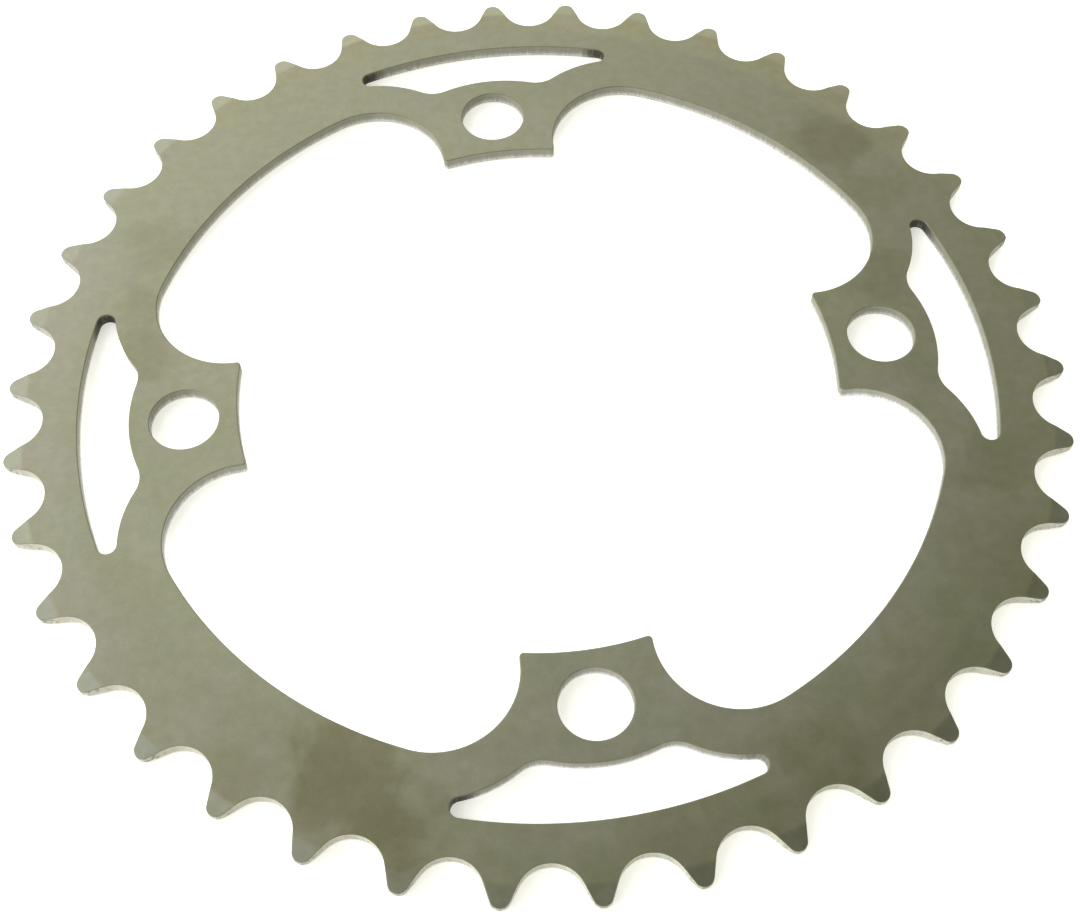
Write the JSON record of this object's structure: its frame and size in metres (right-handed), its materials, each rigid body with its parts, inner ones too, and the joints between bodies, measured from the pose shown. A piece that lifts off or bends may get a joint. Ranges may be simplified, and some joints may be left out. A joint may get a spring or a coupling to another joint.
{
  "type": "bicycle chainring",
  "caption": "Flat toothed steel ring that drives a half-inch bicycle chain, with bevelled tooth tips, inward bolt tabs and lightening slots",
  "frame": {"origin": "crank axis at the plate's back face, which lies on the floor at rest", "axes": "+Z along the crank axis out of the front face, +X and +Y through the middle of a bolt tab"},
  "size_m": [0.1558, 0.1558, 0.002],
  "materials": {
    "steel": "satin"
  },
  "bodies": {
    "root": {"chainring": "steel"}
  },
  "joints": []
}
